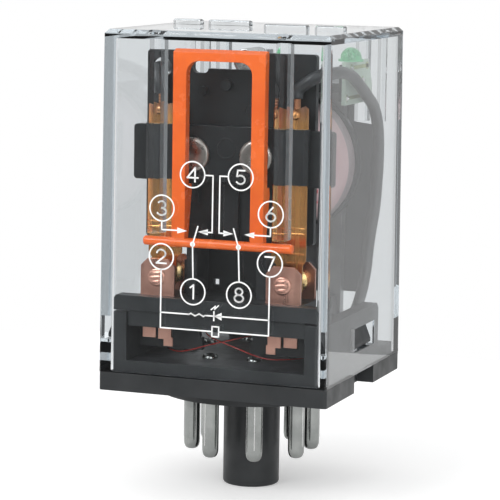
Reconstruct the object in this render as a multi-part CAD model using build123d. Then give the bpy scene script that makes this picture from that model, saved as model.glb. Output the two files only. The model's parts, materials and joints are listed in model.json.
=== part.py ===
from build123d import *
import os
from math import cos, radians, sin

# Plug-in relay on an eight-pin octal base, in millimetres. X is to the right, Y to the back and
# Z up. The origin is the centre of the round seating face that rests on the socket.

# ---- driving dimensions -------------------------------------------------------------------
# Octal base
PIN_CIRCLE_D = 17.45
PIN_R = 1.18
PIN_ROOT_R = 1.13
PIN_TIP_Z = -8.9
PIN_TOP_Z = 6.3
PIN_SEAT_Z = 0.3
SPIGOT_R = 4.1
SPIGOT_END_Z = -13.8
SPIGOT_EDGE_R = 0.4
KEY_WIDTH = 1.7
KEY_HEIGHT = 0.95
BOSS_R = 13.6
FLANGE_BOTTOM_Z = 1.5
FLANGE_TOP_Z = 4.1
FLANGE_HALF = 17.0
FLANGE_CORNER_R = 0.5
NOTCH_HALF_WIDTH = 4.45
NOTCH_DEPTH = 2.4
TUB_HALF = 15.35
TUB_FLOOR_Z = 5.8
TUB_TOP_Z = 12.7
TUB_SIDE_END_Y = 8.5
WINDOW_HALF_X = 13.3
LATCH_HALF_WIDTH = 4.3
LATCH_BOTTOM_Z = 7.6
LATCH_TOP_Z = 10.5
LATCH_REACH = 16.5
POST_HALF_X = 7.5
POST_FRONT_Y = 10.2
YOKE_SCREW_DEPTH = 2.5

# Beam that holds the fixed contacts
BEAM_TOP_Z = 15.1
BEAM_END = (12.2, -13.2)
BEAM_BACK_Y = -5.2
BEAM_CHAMFER = 0.45
SKIRT_FRONT_Y = -14.9
SKIRT_BOTTOM_Z = 10.7
WALL_X, WALL_Y, WALL_TOP_Z = (4.5, 6.0), (-11.0, -6.2), 22.2
STEP_X, STEP_Y, STEP_TOP_Z = (5.8, 6.75), (-9.9, -6.2), 19.9
SCREEN_INNER_X, SCREEN_Y, SCREEN_BOTTOM_Z = 3.6, (-10.6, -9.8), 7.2
RECESS_HALF_X, RECESS_Y, RECESS_Z = 4.0, (-12.6, -6.6), (9, 14.2)
PLATE_SLOT_Z = (10, 16)

# Clear cover
COVER_HALF = 17.0
COVER_TOP_Z = 52.5
COVER_DRAFT_DEG = 0.45
COVER_CORNER_R = 0.35
COVER_INNER_CORNER_R = 0.8
COVER_WALL = 1.3
COVER_TOP_CHAMFER = 0.55
COVER_SLOT_HALF_Y = 4.6
COVER_SLOT_Z = (7.3, 10.7)
FRONT_RAIL_X = (8.45, 10.15)
FRONT_RAIL_INNER_Y = -12.7
FRONT_RAIL_END_Z = 24.1
REAR_RAIL_XS = ((9.6, 11.2), (13.0, 13.7))
REAR_RAIL_INNER_Y = 12.9
REAR_RAIL_END_Z = 38.6
POCKET_X = (8.7, 10.1)
POCKET_Y = (-16.35, -15.0)
POCKET_DEPTH = 0.7
PAD_HEIGHT = 0.8
PAD_Y = 4.0
PAD_DEPTH = 1.5
PAD_SPANS = ((-14.4, -10.2), (-8.9, -2.6))
PAD_EDGE_R = 0.3

# Magnet: the coil axis runs front to back
COIL_Z = 32.5
CORE_R = 3.5
CORE_TENON_R = 2.0
POLE_GROOVE = (0.6, 1.5)
RING_THICKNESS = 0.75
BOBBIN_BORE_R = 3.55
BOBBIN_TUBE_R = 4.5
BOBBIN_FLANGE_R = 10.8
FOOT_HALF_X = 6.5
FOOT_HOLE_X, FOOT_HOLE_Z = (-4.0, -3.1), (15.85, 16.75)
WINDING_R = 10.0
TAPE_R = 10.25
FRONT_FLANGE_Y = (-5.6, -4.6)
REAR_FLANGE_Y = (11.7, 12.8)
POLE_FACE_Y = -6.35
YOKE_PLATE_Y = (12.9, 14.5)
YOKE_ARM_Z = (43.45, 45.05)
YOKE_HALF_X = 8.0
YOKE_FRONT_Y = -7.0
YOKE_FOOT_Z = 5.85
YOKE_SCREW_R = 1.25
YOKE_SCREW_X = 4.6
YOKE_SCREW_Z = 9.3
TONGUE_X = (8.0, 9.8)
YOKE_BEND_R = 1.2
EAR_DEPTH = 2.4
HOOK_X, HOOK_Y, HOOK_TOP_Z, HOOK_EYE_R = (0.0, 1.6), (1.6, 2.6), 49.4, 0.45
SCREW_HEAD_R, SCREW_HEAD_HEIGHT, SCREW_SLOT_HALF = 2.1, 0.85, 0.3

# Return spring
SPRING_X = 0.8
SPRING_Z = 48.15
SPRING_R = 1.55
SPRING_WIRE_R = 0.2
SPRING_TURNS = 11
SPRING_GAP = 0.12
SPRING_START_Y = -7.0
SPRING_END_Y = 3.2

# Armature and what it carries; it swings about the yoke's front edge
ARMATURE_Y = (-8.3, -7.2)
ARMATURE_HALF_X = 10.6
ARMATURE_Z = (24.5, 46.0)
TONGUE_SIDE_GAP = 0.35
CARRIER_Y = (-9.4, -8.3)
CARRIER_X = (-12.9, 12.3)
CARRIER_Z = (22.9, 49.5)
CARRIER_CORNER_R = 0.5
CARRIER_SLOTS = (((-6.05, -3.7), (46.4, 48.3), 0.7), ((-4.9, 3.2), (47.05, 48.5), 0.6))
CARRIER_HOLE_R, CARRIER_HOLE = 1.4, (-10.6, 47.0)
CARRIER_NOTCH_HALF_X, CARRIER_NOTCH_TOP_Z = 2.95, 23.7
PEGS, PEG_LENGTH = ((-0.75, 44.9, 0.8), (-4.25, 43.95, 0.65)), 0.9
RIBS, RIB_HEIGHT = (((-1.3, 1.3), 23.8), ((-6.4, -4.7), 28.2)), 0.7
BACKING_Y = (-10.8, -9.4)
BLADE_Y = (-11.1, -10.8)
CLAMP_Y = (-12.2, -11.1)
CLAMP_HALF_X = 12.1
CLAMP_Z = (31.55, 39.3)
BACKING_HALF_X = 14.3
BACKING_Z = (31.2, 39.0)
RIVET_X = 4.65
RIVET_Z = 35.2
RIVET_HEAD_R = 2.45
RIVET_SHANK_R = 1.2
RIVET_DOME = 0.6
RIVET_TAIL_R = 1.5
RING_MARK_R = (1.25, 1.5)
RING_MARK_X, RING_MARK_Z = 0.1, 36.2

# Contacts, mirrored left and right
BLADE_X = 9.4
BLADE_INNER = 2.65
BLADE_OUTER = 2.4
BLADE_TOP_Z = 42.4
BLADE_TIP_Z = 15.9
CONTACT_Z = 17.7
CONTACT_R = 1.65
CONTACT_STEM_R = 0.8
BLADE_TIP_HALF = 1.9
BLADE_NECK_Z = (20.2, 21.0)
MOVING_DOME, MOVING_TIP_YS = 0.25, (-11.9, -10.0)
FIXED_DOME = 0.55
FIXED_WIDTH = 5.1
FIXED_TOP_Z = 20.3
FIXED_SHOULDER_Z = 10.6
FIXED_END_Z = 8.9
NC_PLATE_Y = (-13.5, -13.0)
NC_TIP_Y = -11.96
NO_PLATE_Y = (-7.3, -6.8)
NO_TIP_Y = -8.56

# Orange frame across the front
FRAME_Y = (-14.85, -13.45)
FRAME_LEG_X = (4.85, 6.8)
FRAME_TOP_Z = 50.0
FRAME_BAR_Z = 48.4
FRAME_LEG_END_Z = 23.25
FRAME_GAP_CORNER_R = 1.8
FRAME_CHAMFER = (0.4, 0.9)
WEB_TOP_Z = 31.1
WEB_EDGE = ((-12.1, 30.2), (-12.3, 31.1))
ROD_Z = 23.0
ROD_R = 0.66
ROD_HALF_LENGTH = 11.1
ROD_PROUD = 0.25

# Lamp and wiring
LAMP_X = 12.6
LAMP_Y = 1.6
LAMP_R = 1.5
LAMP_BASE_Z = 48.1
BOARD_X = (12.3, 12.9)
BOARD_Y = (-1.5, 10.5)
BOARD_Z = (42.0, 48.1)
SLEEVE_R = 0.85
BRAID_R = 0.5
WIRE_R = 0.17
LAMP_FLANGE = 0.35
RESISTOR_R, RESISTOR_LEAD_R, RESISTOR_Y = 0.75, 0.25, 6.2
DIODE_R, DIODE_LEAD_R, DIODE_Y = 0.65, 0.22, 8.6
BRAID_X, BRAID_Z = 9.9, (40.6, 43.4)
LEAD_BEND_R, WIRE_BEND_R, WIRE_CROSSING = 1.2, 0.8, 0.6
SHEET_Y = (14.62, 14.84)


# Joints between solids: how far fused shapes overlap, the play of a fit, and a cutter's margin
OVERLAP = 0.2
PLAY = 0.02
MARGIN = 1
THROUGH_FRONT = (-14, -6)
THROUGH_COIL = (-9, 16)


# ---- helpers ------------------------------------------------------------------------------
def slab(x, y, z):
    """Box between pairs of limits along each axis."""
    size = [limit[1] - limit[0] for limit in (x, y, z)]
    centre = [(limit[1] + limit[0]) / 2 for limit in (x, y, z)]
    return Pos(*centre) * Box(*size)


def rod_z(radius, z, x=0.0, y=0.0):
    """Cylinder along Z between two heights."""
    return Pos(x, y, (z[0] + z[1]) / 2) * Cylinder(radius, z[1] - z[0])


def rod_y(radius, y, x=0.0, z=0.0):
    """Cylinder along Y between two depths."""
    return Pos(x, (y[0] + y[1]) / 2, z) * Rot(90, 0, 0) * Cylinder(radius, y[1] - y[0])


def rod_x(radius, x, y=0.0, z=0.0):
    """Cylinder along X between two stations."""
    return Pos((x[0] + x[1]) / 2, y, z) * Rot(0, 90, 0) * Cylinder(radius, x[1] - x[0])


def prism_y(points, y):
    """Outline in the XZ plane, extruded between two depths."""
    face = make_face(Polyline([(px, y[0], pz) for px, pz in points], close=True))
    return extrude(face, amount=y[1] - y[0], dir=(0, 1, 0))


def prism_x(points, x):
    """Outline in the YZ plane, extruded between two stations."""
    face = make_face(Polyline([(x[0], py, pz) for py, pz in points], close=True))
    return extrude(face, amount=x[1] - x[0], dir=(1, 0, 0))


def tube_along(points, radius, corner_radii):
    """Round bar that follows straight runs joined by tangent arcs."""
    path = FilletPolyline(points, radius=corner_radii)
    section = Plane(origin=path @ 0, z_dir=path % 0) * Circle(radius)
    return sweep(section, path=path)


def dome_y(radius, height, base_y, tip_y, x, z):
    """Contact rivet head: a short cylinder closed by a spherical cap, towards tip_y."""
    outward = 1 if tip_y > base_y else -1
    cap_r = (radius ** 2 + height ** 2) / (2 * height)
    shoulder_y = tip_y - outward * height
    ball = Pos(x, tip_y - outward * cap_r, z) * Sphere(cap_r)
    limits = sorted((base_y, tip_y))
    column = rod_y(radius, limits, x, z)
    straight = rod_y(radius, sorted((base_y, shoulder_y)), x, z)
    return straight + (column & ball)


def mirrored(shape, side):
    """The shape itself on the right, its mirror image on the left."""
    return shape if side > 0 else mirror(shape, about=Plane.YZ)


def pin_place(number):
    """Centre of a numbered pin, counted from the key at the back."""
    angle = radians(90 + 22.5 + 45 * (number - 1))
    return PIN_CIRCLE_D / 2 * cos(angle), PIN_CIRCLE_D / 2 * sin(angle)


# ---- base ---------------------------------------------------------------------------------
def make_base():
    body = rod_z(BOSS_R, (0, FLANGE_BOTTOM_Z + OVERLAP))
    flange = extrude(RectangleRounded(2 * FLANGE_HALF, 2 * FLANGE_HALF, FLANGE_CORNER_R),
                     amount=FLANGE_TOP_Z - FLANGE_BOTTOM_Z)
    body += Pos(0, 0, FLANGE_BOTTOM_Z) * flange
    body += slab((-TUB_HALF, TUB_HALF), (-TUB_HALF, TUB_HALF), (FLANGE_TOP_Z - OVERLAP, TUB_FLOOR_Z))
    side_outline = [(-TUB_HALF, TUB_FLOOR_Z - 0.2), (TUB_SIDE_END_Y, TUB_FLOOR_Z - 0.2),
                    (TUB_SIDE_END_Y, TUB_TOP_Z - 0.8), (TUB_SIDE_END_Y - 0.8, TUB_TOP_Z),
                    (-TUB_HALF, TUB_TOP_Z)]
    side_wall = prism_x(side_outline, (WINDOW_HALF_X, TUB_HALF))
    latch_outline = [(TUB_HALF - 0.2, LATCH_BOTTOM_Z), (LATCH_REACH, LATCH_BOTTOM_Z),
                     (LATCH_REACH, LATCH_BOTTOM_Z + 0.5), (TUB_HALF + 0.2, LATCH_TOP_Z),
                     (TUB_HALF - 0.2, LATCH_TOP_Z)]
    latch = prism_y(latch_outline, (-LATCH_HALF_WIDTH, LATCH_HALF_WIDTH))
    notch = slab((FLANGE_HALF - NOTCH_DEPTH, FLANGE_HALF + 1), (-NOTCH_HALF_WIDTH, NOTCH_HALF_WIDTH),
                 (FLANGE_BOTTOM_Z - 1, FLANGE_TOP_Z))
    for side in (1, -1):
        body += mirrored(side_wall + latch, side)
        body -= mirrored(notch, side)
    body += slab((-POST_HALF_X, POST_HALF_X), (POST_FRONT_Y, YOKE_PLATE_Y[0] - 0.05),
                 (TUB_FLOOR_Z - 0.2, TUB_TOP_Z))
    spigot = rod_z(SPIGOT_R, (SPIGOT_END_Z, OVERLAP))
    spigot = fillet(spigot.edges().group_by(Axis.Z)[0], SPIGOT_EDGE_R)
    key = slab((-KEY_WIDTH / 2, KEY_WIDTH / 2), (SPIGOT_R - 0.5, SPIGOT_R + KEY_HEIGHT),
               (SPIGOT_END_Z + 1.2, 0.2))
    body += spigot + key
    for number in range(1, 9):
        x, y = pin_place(number)
        body -= rod_z(PIN_ROOT_R + PLAY / 2, (-MARGIN, TUB_FLOOR_Z + MARGIN), x, y)
        body -= rod_z(PIN_R + PLAY, (-MARGIN, PIN_SEAT_Z), x, y)
    for side in (1, -1):
        body -= rod_y(YOKE_SCREW_R, (YOKE_PLATE_Y[0] - YOKE_SCREW_DEPTH, YOKE_PLATE_Y[0] + MARGIN),
                      side * YOKE_SCREW_X, YOKE_SCREW_Z)
    return body


def make_pin(number):
    x, y = pin_place(number)
    shank = rod_z(PIN_R, (PIN_TIP_Z, -PLAY), x, y)
    shank = fillet(shank.edges().group_by(Axis.Z)[0], PIN_R * 0.72)
    root = rod_z(PIN_ROOT_R, (-0.5, PIN_TOP_Z), x, y)
    return shank + chamfer(root.edges().group_by(Axis.Z)[-1], 0.25)


def make_terminal_block():
    """Beam across the front of the tub that holds the fixed contacts, with the barrier walls."""
    beam_z = (TUB_TOP_Z + 0.25, BEAM_TOP_Z)
    beam = slab((-TUB_HALF, TUB_HALF), (-TUB_HALF, BEAM_BACK_Y), beam_z)
    beam = chamfer(beam.edges().filter_by(Axis.Y).group_by(Axis.Z)[-1], BEAM_CHAMFER)
    skirt_half = WINDOW_HALF_X - 0.1
    block = beam + slab((-skirt_half, skirt_half), (SKIRT_FRONT_Y, BEAM_BACK_Y),
                        (SKIRT_BOTTOM_Z, TUB_TOP_Z + 2 * OVERLAP))
    for side in (1, -1):
        wall = slab(WALL_X, WALL_Y, (BEAM_TOP_Z - OVERLAP, WALL_TOP_Z))
        step = slab(STEP_X, STEP_Y, (BEAM_TOP_Z - OVERLAP, STEP_TOP_Z))
        block += mirrored(wall + step, side)
        for plate_y in (NC_PLATE_Y, NO_PLATE_Y):
            slot = slab((BLADE_X - FIXED_WIDTH / 2 - 0.05, BLADE_X + FIXED_WIDTH / 2 + 0.05),
                        (plate_y[0] - 0.03, plate_y[1] + 0.03), PLATE_SLOT_Z)
            block -= mirrored(slot, side)
        screen = slab((SCREEN_INNER_X, skirt_half), SCREEN_Y, (SCREEN_BOTTOM_Z, TUB_TOP_Z))
        block += mirrored(screen, side)
        end_cut = slab((BEAM_END[0], TUB_HALF + 1), (BEAM_END[1], -5), (TUB_TOP_Z + 0.1, BEAM_TOP_Z + 1))
        block -= mirrored(end_cut, side)
    return block - slab((-RECESS_HALF_X, RECESS_HALF_X), RECESS_Y, RECESS_Z)


# ---- cover --------------------------------------------------------------------------------
def make_cover():
    height = COVER_TOP_Z - FLANGE_TOP_Z
    shell = extrude(RectangleRounded(2 * COVER_HALF, 2 * COVER_HALF, COVER_CORNER_R),
                    amount=height, taper=COVER_DRAFT_DEG)
    shell = chamfer(shell.faces().sort_by(Axis.Z)[-1].edges(), COVER_TOP_CHAMFER)
    inner_half = COVER_HALF - COVER_WALL
    hollow = extrude(RectangleRounded(2 * inner_half, 2 * inner_half, COVER_INNER_CORNER_R),
                     amount=height - COVER_WALL, taper=COVER_DRAFT_DEG)
    shell = Pos(0, 0, FLANGE_TOP_Z) * (shell - hollow)
    rail_top = COVER_TOP_Z - COVER_WALL + 0.3
    embedded = inner_half + 0.3
    for side in (1, -1):
        front = slab(FRONT_RAIL_X, (-embedded, FRONT_RAIL_INNER_Y), (FRONT_RAIL_END_Z, rail_top))
        shell += mirrored(front, side)
        for rail_x in REAR_RAIL_XS:
            rear = slab(rail_x, (REAR_RAIL_INNER_Y, embedded), (REAR_RAIL_END_Z, rail_top))
            shell += mirrored(rear, side)
        window = slab((COVER_HALF - 3, COVER_HALF + 1), (-COVER_SLOT_HALF_Y, COVER_SLOT_HALF_Y),
                      COVER_SLOT_Z)
        pocket = slab(POCKET_X, POCKET_Y, (COVER_TOP_Z - POCKET_DEPTH, COVER_TOP_Z + 1))
        shell -= mirrored(window + pocket, side)
    for low, high in PAD_SPANS:
        pad = slab((low, high), (PAD_Y - PAD_DEPTH / 2, PAD_Y + PAD_DEPTH / 2),
                   (COVER_TOP_Z - 0.2, COVER_TOP_Z + PAD_HEIGHT))
        pad = fillet(pad.edges().group_by(Axis.Z)[-1], PAD_EDGE_R)
        shell += pad + Rot(0, 0, 180) * pad
    return shell


# ---- magnet -------------------------------------------------------------------------------
def make_yoke():
    """L-shaped iron: a back plate that stands on the base and an arm over the coil."""
    plate = slab((-YOKE_HALF_X, YOKE_HALF_X), YOKE_PLATE_Y, (YOKE_FOOT_Z, YOKE_ARM_Z[1]))
    arm = slab((-YOKE_HALF_X, YOKE_HALF_X), (YOKE_FRONT_Y, YOKE_PLATE_Y[1]), YOKE_ARM_Z)
    yoke = plate + arm
    yoke = fillet(yoke.edges().filter_by(Axis.X).sort_by(lambda e: -(e @ 0).Y - (e @ 0).Z)[0],
                  YOKE_BEND_R)
    for side in (1, -1):
        ear = slab((YOKE_HALF_X - OVERLAP, TONGUE_X[1]), (YOKE_FRONT_Y, YOKE_FRONT_Y + EAR_DEPTH),
                   YOKE_ARM_Z)
        tongue = slab(TONGUE_X, (ARMATURE_Y[0] + 0.1, YOKE_FRONT_Y + OVERLAP),
                      (YOKE_ARM_Z[0] + 0.2, YOKE_ARM_Z[1] - 0.2))
        yoke += mirrored(ear + tongue, side)
        yoke -= rod_y(YOKE_SCREW_R, (YOKE_PLATE_Y[0] - 1, YOKE_PLATE_Y[1] + 1),
                      side * YOKE_SCREW_X, YOKE_SCREW_Z)
    yoke -= rod_y(CORE_TENON_R + PLAY, (YOKE_PLATE_Y[0] - 1, YOKE_PLATE_Y[1] + 1), 0, COIL_Z)
    hook = slab(HOOK_X, HOOK_Y, (YOKE_ARM_Z[1] - 0.3, HOOK_TOP_Z))
    hook -= rod_y(HOOK_EYE_R, (HOOK_Y[0] - MARGIN, HOOK_Y[1] + MARGIN), SPRING_X, SPRING_Z)
    return yoke + hook


def make_core():
    core = rod_y(CORE_R, (POLE_FACE_Y, YOKE_PLATE_Y[0] - PLAY), 0, COIL_Z)
    core += rod_y(CORE_TENON_R, (YOKE_PLATE_Y[0] - 0.3, YOKE_PLATE_Y[1] + 0.1), 0, COIL_Z)
    groove = slab((-5, 5), (POLE_FACE_Y - 1, POLE_FACE_Y + 1.25), [COIL_Z + z for z in POLE_GROOVE])
    return core - groove


def make_shading_ring():
    """Copper loop around the upper part of the split pole face."""
    ring = rod_y(CORE_R + RING_THICKNESS, (POLE_FACE_Y + 0.12, POLE_FACE_Y + 0.72), 0, COIL_Z)
    ring -= rod_y(CORE_R + 0.03, (POLE_FACE_Y - 1, POLE_FACE_Y + 2), 0, COIL_Z)
    ring &= slab((-6, 6), (POLE_FACE_Y, POLE_FACE_Y + 2), (COIL_Z + 0.65, COIL_Z + 6))
    bar = slab((-CORE_R - 0.7, CORE_R + 0.7), (POLE_FACE_Y + 0.12, POLE_FACE_Y + 0.72),
               (COIL_Z + 0.65, COIL_Z + 1.45))
    return ring + bar


def make_bobbin():
    bobbin = rod_y(BOBBIN_TUBE_R, (FRONT_FLANGE_Y[0], REAR_FLANGE_Y[1]), 0, COIL_Z)
    for flange_y in (FRONT_FLANGE_Y, REAR_FLANGE_Y):
        bobbin += rod_y(BOBBIN_FLANGE_R, flange_y, 0, COIL_Z)
    foot = slab((-FOOT_HALF_X, FOOT_HALF_X), FRONT_FLANGE_Y, (BEAM_TOP_Z + PLAY, COIL_Z - 8))
    bobbin += foot - slab(FOOT_HOLE_X, (-6, -4), FOOT_HOLE_Z)
    return bobbin - rod_y(BOBBIN_BORE_R, THROUGH_COIL, 0, COIL_Z)


def make_winding():
    wound = rod_y(WINDING_R, (FRONT_FLANGE_Y[1] + PLAY, REAR_FLANGE_Y[0] - PLAY), 0, COIL_Z)
    return wound - rod_y(BOBBIN_TUBE_R + PLAY, THROUGH_COIL, 0, COIL_Z)


def make_coil_tape():
    tape = rod_y(TAPE_R, (FRONT_FLANGE_Y[1] + 0.1, REAR_FLANGE_Y[0] - 0.1), 0, COIL_Z)
    return tape - rod_y(WINDING_R + PLAY, THROUGH_COIL, 0, COIL_Z)


def make_yoke_screws():
    screws = []
    back = YOKE_PLATE_Y[1]
    for side in (1, -1):
        head = rod_y(SCREW_HEAD_R, (back + PLAY, back + SCREW_HEAD_HEIGHT), 0, 0)
        head -= slab((-SCREW_SLOT_HALF, SCREW_SLOT_HALF), (back + 0.45, back + 2), (-3, 3))
        shank = rod_y(YOKE_SCREW_R - 0.03, (YOKE_PLATE_Y[0] - 2.3, back + 0.1), 0, 0)
        screws.append(Pos(side * YOKE_SCREW_X, 0, YOKE_SCREW_Z) * (head + shank))
    return Compound(children=screws)


def make_return_spring():
    """Tension spring from the top of the carrier to the hook on the yoke arm."""
    pitch = 2 * SPRING_WIRE_R + SPRING_GAP
    length = pitch * SPRING_TURNS
    helix = Helix(pitch=pitch, height=length, radius=SPRING_R)
    section = Plane(origin=helix @ 0, z_dir=helix % 0) * Circle(SPRING_WIRE_R)
    coil = sweep(section, path=helix, is_frenet=True)
    coil = Pos(SPRING_X, SPRING_START_Y, SPRING_Z) * Rot(-90, 0, 0) * coil
    wire_x = (SPRING_X - SPRING_WIRE_R, SPRING_X + SPRING_WIRE_R)
    wire_z = (SPRING_Z - SPRING_WIRE_R, SPRING_Z + SPRING_WIRE_R)
    front = slab(wire_x, (-8.1, SPRING_START_Y + 0.05), wire_z)
    rear_y = SPRING_START_Y + length
    rear = rod_y(SPRING_WIRE_R, (rear_y - 0.05, SPRING_END_Y), SPRING_X, SPRING_Z)
    cross = slab((wire_x[0], SPRING_X + SPRING_R + 0.1), (0, 2 * SPRING_WIRE_R), wire_z)
    front_arm = Pos(0, SPRING_START_Y - SPRING_WIRE_R, 0) * cross
    rear_arm = Pos(0, rear_y - SPRING_WIRE_R, 0) * cross
    return coil + front + front_arm + rear_arm + rear


# ---- armature assembly --------------------------------------------------------------------
def make_armature():
    plate = slab((-ARMATURE_HALF_X, ARMATURE_HALF_X), ARMATURE_Y, ARMATURE_Z)
    for side in (1, -1):
        notch = slab((TONGUE_X[0] - TONGUE_SIDE_GAP, TONGUE_X[1] + TONGUE_SIDE_GAP), THROUGH_FRONT,
                     (YOKE_ARM_Z[0] - OVERLAP, YOKE_ARM_Z[1] + OVERLAP))
        plate -= mirrored(notch, side)
        plate -= rod_y(RIVET_SHANK_R + PLAY, THROUGH_FRONT, side * RIVET_X, RIVET_Z)
    return plate


def rounded_slot(x, z, radius):
    """Cutter with rounded ends, right through the carrier."""
    cutter = slab(x, THROUGH_FRONT, z)
    return fillet(cutter.edges().filter_by(Axis.Y), radius)


def make_carrier():
    plate = slab(CARRIER_X, CARRIER_Y, CARRIER_Z)
    plate = fillet(plate.edges().filter_by(Axis.Y), CARRIER_CORNER_R)
    for x, z, radius in CARRIER_SLOTS:
        plate -= rounded_slot(x, z, radius)
    plate -= rod_y(CARRIER_HOLE_R, THROUGH_FRONT, *CARRIER_HOLE)
    plate -= slab((-CARRIER_NOTCH_HALF_X, CARRIER_NOTCH_HALF_X), THROUGH_FRONT,
                  (CARRIER_Z[0] - MARGIN, CARRIER_NOTCH_TOP_Z))
    for side in (1, -1):
        plate -= rod_y(RIVET_SHANK_R + PLAY, THROUGH_FRONT, side * RIVET_X, RIVET_Z)
    for x, z, radius in PEGS:
        plate += rod_y(radius, (CARRIER_Y[0] - PEG_LENGTH, CARRIER_Y[0] + OVERLAP), x, z)
    for x, bottom_z in RIBS:
        plate += slab(x, (CARRIER_Y[0] - RIB_HEIGHT, CARRIER_Y[0] + OVERLAP),
                      (bottom_z, BACKING_Z[0] - OVERLAP))
    return plate


def make_clamp():
    bar = slab((-CLAMP_HALF_X, CLAMP_HALF_X), CLAMP_Y, CLAMP_Z)
    front = bar.faces().sort_by(Axis.Y)[0]
    bar = chamfer(front.edges().filter_by(Axis.Z), 0.5)
    ring = rod_y(RING_MARK_R[1], (CLAMP_Y[0] - 0.12, CLAMP_Y[0] + 0.1), RING_MARK_X, RING_MARK_Z)
    ring -= rod_y(RING_MARK_R[0], (CLAMP_Y[0] - MARGIN, CLAMP_Y[0] + MARGIN), RING_MARK_X, RING_MARK_Z)
    bar += ring
    for side in (1, -1):
        bar -= rod_y(RIVET_SHANK_R + PLAY, THROUGH_FRONT, side * RIVET_X, RIVET_Z)
    return bar


def make_backing():
    bar = slab((-BACKING_HALF_X, BACKING_HALF_X), BACKING_Y, BACKING_Z)
    bar = fillet(bar.edges().filter_by(Axis.Y), 0.5)
    for side in (1, -1):
        bar -= rod_y(RIVET_SHANK_R + PLAY, THROUGH_FRONT, side * RIVET_X, RIVET_Z)
    return bar


def make_rivet(side):
    rivet = dome_y(RIVET_HEAD_R, RIVET_DOME, CLAMP_Y[0] - 0.01, CLAMP_Y[0] - RIVET_DOME - PLAY, 0, 0)
    rivet += rod_y(RIVET_SHANK_R, (CLAMP_Y[0] - 0.1, ARMATURE_Y[1] + 0.1), 0, 0)
    rivet += rod_y(RIVET_TAIL_R, (ARMATURE_Y[1] + PLAY, ARMATURE_Y[1] + 0.25), 0, 0)
    return Pos(side * RIVET_X, 0, RIVET_Z) * rivet


def make_blade(side):
    """Moving contact spring, clamped under the block, with a narrower tip."""
    tip = BLADE_TIP_HALF
    neck_low, neck_high = BLADE_NECK_Z
    outline = [(-BLADE_INNER, BLADE_TOP_Z - 0.3), (-BLADE_INNER + 0.5, BLADE_TOP_Z),
               (0.2, BLADE_TOP_Z - 0.55), (BLADE_OUTER - 0.4, BLADE_TOP_Z + 0.1),
               (BLADE_OUTER, BLADE_TOP_Z - 0.2), (BLADE_OUTER, neck_high), (tip, neck_low),
               (tip, BLADE_TIP_Z + 0.7), (tip - 0.7, BLADE_TIP_Z), (-tip + 0.7, BLADE_TIP_Z),
               (-tip, BLADE_TIP_Z + 0.7), (-tip, neck_low), (-BLADE_INNER, neck_high)]
    blade = Pos(BLADE_X, 0, 0) * prism_y(outline, BLADE_Y)
    blade -= rod_y(CONTACT_STEM_R + PLAY, THROUGH_FRONT, BLADE_X, CONTACT_Z)
    return mirrored(blade, side)


def make_moving_tip(side):
    front_y, back_y = MOVING_TIP_YS
    tip = dome_y(CONTACT_R, MOVING_DOME, BLADE_Y[0] - PLAY / 2, front_y, side * BLADE_X, CONTACT_Z)
    tip += dome_y(CONTACT_R, MOVING_DOME, BLADE_Y[1] + PLAY / 2, back_y, side * BLADE_X, CONTACT_Z)
    return tip + rod_y(CONTACT_STEM_R, (-11.5, -10.4), side * BLADE_X, CONTACT_Z)


def make_frame():
    """Orange inverted U; its cross rod stands proud of the legs, in front of both blades."""
    inner, outer = FRAME_LEG_X
    blank = slab((-outer, outer), FRAME_Y, (FRAME_LEG_END_Z, FRAME_TOP_Z))
    front_top = blank.faces().sort_by(Axis.Y)[0].edges().filter_by(Axis.X).sort_by(Axis.Z)[-1]
    blank = chamfer(front_top, *FRAME_CHAMFER)
    gap = extrude(RectangleRounded(2 * inner, 2 * (FRAME_BAR_Z - ROD_Z), FRAME_GAP_CORNER_R),
                  amount=4)
    gap = Pos(0, FRAME_Y[0] - 1, ROD_Z) * Rot(90, 0, 0) * Pos(0, 0, -4) * gap
    frame = blank - gap
    web_front = FRAME_Y[1] - OVERLAP
    web_outline = [(web_front, ROD_Z + 0.4), (-13.3, ROD_Z + 0.4), *WEB_EDGE, (web_front, WEB_TOP_Z)]
    for side in (1, -1):
        frame += mirrored(prism_x(web_outline, (inner + 0.05, outer - 0.1)), side)
    rod = rod_x(ROD_R, (-ROD_HALF_LENGTH, ROD_HALF_LENGTH), FRAME_Y[0] + ROD_R - ROD_PROUD, ROD_Z)
    rod = fillet(rod.edges(), 0.3)
    return frame + rod


# ---- fixed contacts -----------------------------------------------------------------------
def make_fixed_plate(plate_y, side):
    half = FIXED_WIDTH / 2
    outline = [(-half, FIXED_SHOULDER_Z), (-half, FIXED_TOP_Z - 1.0), (-half + 1.0, FIXED_TOP_Z),
               (half - 1.0, FIXED_TOP_Z), (half, FIXED_TOP_Z - 1.0), (half, FIXED_SHOULDER_Z),
               (-0.2, FIXED_SHOULDER_Z), (-0.2, FIXED_END_Z), (-half + 0.4, FIXED_END_Z),
               (-half + 0.4, FIXED_SHOULDER_Z)]
    plate = Pos(BLADE_X, 0, 0) * prism_y(outline, plate_y)
    plate -= rod_y(CONTACT_STEM_R + PLAY, (plate_y[0] - 1, plate_y[1] + 1), BLADE_X, CONTACT_Z)
    return mirrored(plate, side)


def make_fixed_tip(plate_y, tip_y, side):
    faces_back = tip_y > plate_y[1]
    seat_y = plate_y[1] + 0.01 if faces_back else plate_y[0] - 0.01
    far_y = plate_y[0] - 0.12 if faces_back else plate_y[1] + 0.12
    tip = dome_y(CONTACT_R, FIXED_DOME, seat_y, tip_y, side * BLADE_X, CONTACT_Z)
    middle = (seat_y + tip_y) / 2
    return tip + rod_y(CONTACT_STEM_R, sorted((far_y, middle)), side * BLADE_X, CONTACT_Z)


# ---- lamp and wiring ----------------------------------------------------------------------
def make_lamp_board():
    low, high = BOARD_Z
    outline = [(BOARD_Y[0], low), (BOARD_Y[1], low), (BOARD_Y[1] + 0.3, low + 2.2),
               (BOARD_Y[1] - 1.6, high), (BOARD_Y[0], high)]
    return prism_x(outline, BOARD_X)


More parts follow.
